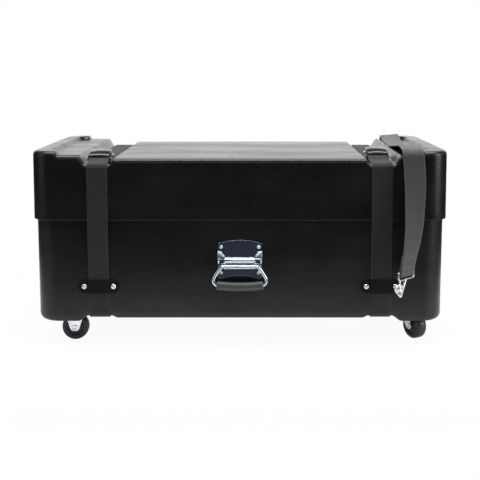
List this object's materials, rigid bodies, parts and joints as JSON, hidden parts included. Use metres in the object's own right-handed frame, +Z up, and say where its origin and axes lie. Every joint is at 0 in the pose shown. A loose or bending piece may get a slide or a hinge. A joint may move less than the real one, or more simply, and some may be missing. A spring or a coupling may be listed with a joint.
{
  "type": "accessory case",
  "caption": "Hard-shell trap case with a telescoping lid, webbing straps in cam buckles, a drop handle, casters and a loose strap with a hook.",
  "frame": {"origin": "on the floor under the middle of the whole object's footprint, straps and hook included", "axes": "+X along the case towards its swivel casters, -Y out of the face with the drop handle, +Z up"},
  "size_m": [0.78, 0.4245, 0.3767],
  "materials": {
    "shell": "black moulded polyethylene with a fine leather grain",
    "webbing": "black polypropylene webbing with crosswise ribs",
    "loose_webbing": "grey-black worn webbing with crosswise ribs",
    "keeper": "black hide, satin",
    "bright_zinc": "bright zinc plate",
    "rivet": "nickel-plated steel",
    "caster_zinc": "zinc-plated pressed steel",
    "hook": "bright nickel",
    "grip": "black ribbed moulding",
    "wheel": "dark moulded tread",
    "buckle": "gloss black coating"
  },
  "bodies": {
    "case": {"body_shell": "shell", "keeper_front_left": "keeper", "keeper_rivet_front_left_1": "rivet", "keeper_rivet_front_left_2": "rivet", "keeper_front_right": "keeper", "keeper_rivet_front_right_1": "rivet", "keeper_rivet_front_right_2": "rivet", "keeper_back_left": "keeper", "keeper_rivet_back_left_1": "rivet", "keeper_rivet_back_left_2": "rivet", "keeper_back_right": "keeper", "keeper_rivet_back_right_1": "rivet", "keeper_rivet_back_right_2": "rivet", "strap_left_lower": "webbing", "strap_left_front_run": "webbing", "strap_left_back_run": "webbing", "strap_right_lower": "webbing", "strap_right_front_run": "webbing", "strap_right_back_run": "webbing", "handle_plate": "bright_zinc", "handle_bracket": "bright_zinc", "handle_rivet_1": "rivet", "handle_rivet_2": "rivet", "handle_rivet_3": "rivet", "handle_rivet_4": "rivet", "fixed_caster_front_bracket": "caster_zinc", "fixed_caster_front_axle": "caster_zinc", "swivel_caster_front_plate": "caster_zinc", "swivel_caster_front_kingpin": "caster_zinc", "fixed_caster_back_bracket": "caster_zinc", "fixed_caster_back_axle": "caster_zinc", "swivel_caster_back_plate": "caster_zinc", "swivel_caster_back_kingpin": "caster_zinc"},
    "lid": {"lid_shell": "shell", "strap_left_top_front": "webbing", "strap_left_top_back": "webbing", "buckle_left_frame": "buckle", "buckle_left_pin": "buckle", "strap_right_top_front": "webbing", "strap_right_top_back": "webbing", "buckle_right_frame": "buckle", "buckle_right_pin": "buckle", "loose_strap": "loose_webbing", "hook_frame": "hook", "hook_pin": "hook"},
    "left_lever": {"buckle_left_lever": "buckle"},
    "right_lever": {"buckle_right_lever": "buckle"},
    "bail": {"handle_bail": "bright_zinc", "handle_grip": "grip"},
    "fixed_wheel_front": {"fixed_caster_front_wheel": "wheel"},
    "fixed_wheel_back": {"fixed_caster_back_wheel": "wheel"},
    "fork_front": {"swivel_caster_front_fork": "caster_zinc", "swivel_caster_front_axle": "caster_zinc"},
    "swivel_wheel_front": {"swivel_caster_front_wheel": "wheel"},
    "fork_back": {"swivel_caster_back_fork": "caster_zinc", "swivel_caster_back_axle": "caster_zinc"},
    "swivel_wheel_back": {"swivel_caster_back_wheel": "wheel"},
    "jaw": {"hook_jaw": "hook"}
  },
  "joints": [
    {"name": "lid_lift", "type": "slide", "parent": "case", "child": "lid", "axis": [0, 0, 1], "range_m": [0, 0.35], "deforming": ["strap_left_front_run", "strap_left_back_run", "strap_right_front_run", "strap_right_back_run"]},
    {"name": "left_lever_flip", "type": "hinge", "parent": "lid", "child": "left_lever", "pos_m": [-0.264, -0.101, 0.3547], "axis": [-1, 0, 0], "range_deg": [0, 60]},
    {"name": "right_lever_flip", "type": "hinge", "parent": "lid", "child": "right_lever", "pos_m": [0.264, -0.054, 0.3547], "axis": [-1, 0, 0], "range_deg": [0, 60]},
    {"name": "handle_swing", "type": "hinge", "parent": "case", "child": "bail", "pos_m": [0, -0.164, 0.1526], "axis": [-1, 0, 0], "range_deg": [0, 85]},
    {"name": "fixed_wheel_front_spin", "type": "hinge", "parent": "case", "child": "fixed_wheel_front", "pos_m": [-0.317, -0.111, 0.0254], "axis": [0, 1, 0], "continuous": true},
    {"name": "fixed_wheel_back_spin", "type": "hinge", "parent": "case", "child": "fixed_wheel_back", "pos_m": [-0.317, 0.163, 0.0254], "axis": [0, 1, 0], "continuous": true},
    {"name": "front_swivel", "type": "hinge", "parent": "case", "child": "fork_front", "pos_m": [0.327, -0.088, 0.054], "axis": [0, 0, 1], "continuous": true},
    {"name": "swivel_wheel_front_spin", "type": "hinge", "parent": "fork_front", "child": "swivel_wheel_front", "pos_m": [0.337, -0.10532, 0.0254], "axis": [0.866, 0.5, 0], "continuous": true},
    {"name": "back_swivel", "type": "hinge", "parent": "case", "child": "fork_back", "pos_m": [0.327, 0.14, 0.054], "axis": [0, 0, 1], "continuous": true},
    {"name": "swivel_wheel_back_spin", "type": "hinge", "parent": "fork_back", "child": "swivel_wheel_back", "pos_m": [0.34513, 0.14845, 0.0254], "axis": [-0.4226, 0.9063, 0], "continuous": true},
    {"name": "hook_jaw_open", "type": "hinge", "parent": "lid", "child": "jaw", "pos_m": [0.288, -0.19826, 0.1215], "axis": [-0.6947, 0.7193, 0], "range_deg": [0, 35], "stiffness_Nm_per_rad": 0.03, "springref_deg": -28.65}
  ]
}
